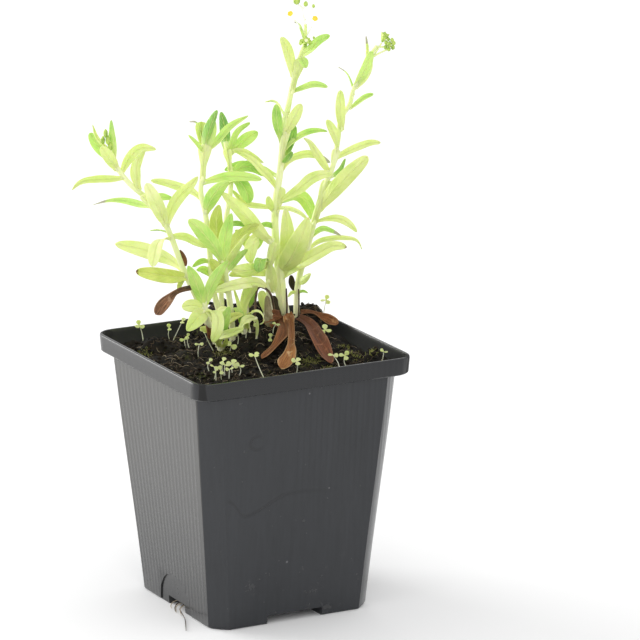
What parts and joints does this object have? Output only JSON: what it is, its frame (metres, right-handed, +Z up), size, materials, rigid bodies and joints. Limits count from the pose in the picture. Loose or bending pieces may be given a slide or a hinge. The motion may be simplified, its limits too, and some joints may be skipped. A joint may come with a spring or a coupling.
{
  "type": "potted myosotis scorpioides",
  "caption": "Young water forget-me-not with slender leafy stems, a few open flowers and buds, growing in peaty soil in a square tapered plastic nursery pot.",
  "frame": {"origin": "middle of the pot's underside, on the surface that it stands on", "axes": "+Z up along the pot's height and the plant's growth; X and Y run square to the pot's four sides, and the plant leans towards +X and -X"},
  "size_m": [0.1279, 0.09, 0.2282],
  "materials": {
    "pot_plastic": "satin",
    "potting_soil": "matte",
    "stem_green": "satin",
    "leaf_green": "satin",
    "withered_leaf": "matte",
    "petal": "matte",
    "bud_green": "matte"
  },
  "bodies": {
    "root": {"flower_stalk": "stem_green", "front_stem": "stem_green", "front_stem_leaf_1": "leaf_green", "front_stem_leaf_2": "leaf_green", "left_flower": "petal", "left_stem": "stem_green", "left_stem_leaf_1": "leaf_green", "left_stem_leaf_2": "leaf_green", "left_stem_leaf_3": "leaf_green", "left_stem_leaf_4": "leaf_green", "left_stem_leaf_5": "leaf_green", "left_stem_leaf_6": "leaf_green", "left_stem_leaf_7": "leaf_green", "left_stem_leaf_8": "leaf_green", "low_stem": "stem_green", "low_stem_leaf_1": "leaf_green", "low_stem_leaf_2": "leaf_green", "low_stem_leaf_3": "leaf_green", "low_stem_leaf_4": "leaf_green", "middle_stem": "stem_green", "middle_stem_leaf_1": "leaf_green", "middle_stem_leaf_2": "leaf_green", "middle_stem_leaf_3": "leaf_green", "pot": "pot_plastic", "rear_stem": "stem_green", "rear_stem_leaf_1": "leaf_green", "right_flower": "petal", "right_stem": "stem_green", "right_stem_leaf_1": "leaf_green", "right_stem_leaf_2": "leaf_green", "right_stem_leaf_3": "leaf_green", "right_stem_leaf_4": "leaf_green", "right_stem_leaf_5": "leaf_green", "right_stem_leaf_6": "leaf_green", "side_bud_lower": "bud_green", "side_bud_upper": "bud_green", "side_stem": "stem_green", "side_stem_leaf_1": "leaf_green", "side_stem_leaf_2": "leaf_green", "soil": "potting_soil", "tall_stem": "stem_green", "tall_stem_leaf_1": "leaf_green", "tall_stem_leaf_10": "leaf_green", "tall_stem_leaf_2": "leaf_green", "tall_stem_leaf_3": "leaf_green", "tall_stem_leaf_4": "leaf_green", "tall_stem_leaf_5": "leaf_green", "tall_stem_leaf_6": "leaf_green", "tall_stem_leaf_7": "leaf_green", "tall_stem_leaf_8": "leaf_green", "tall_stem_leaf_9": "leaf_green", "top_bud_left": "bud_green", "top_bud_right": "bud_green", "withered_leaf_1": "withered_leaf", "withered_leaf_2": "withered_leaf", "withered_leaf_3": "withered_leaf", "withered_leaf_4": "withered_leaf", "withered_leaf_5": "withered_leaf"}
  },
  "joints": []
}
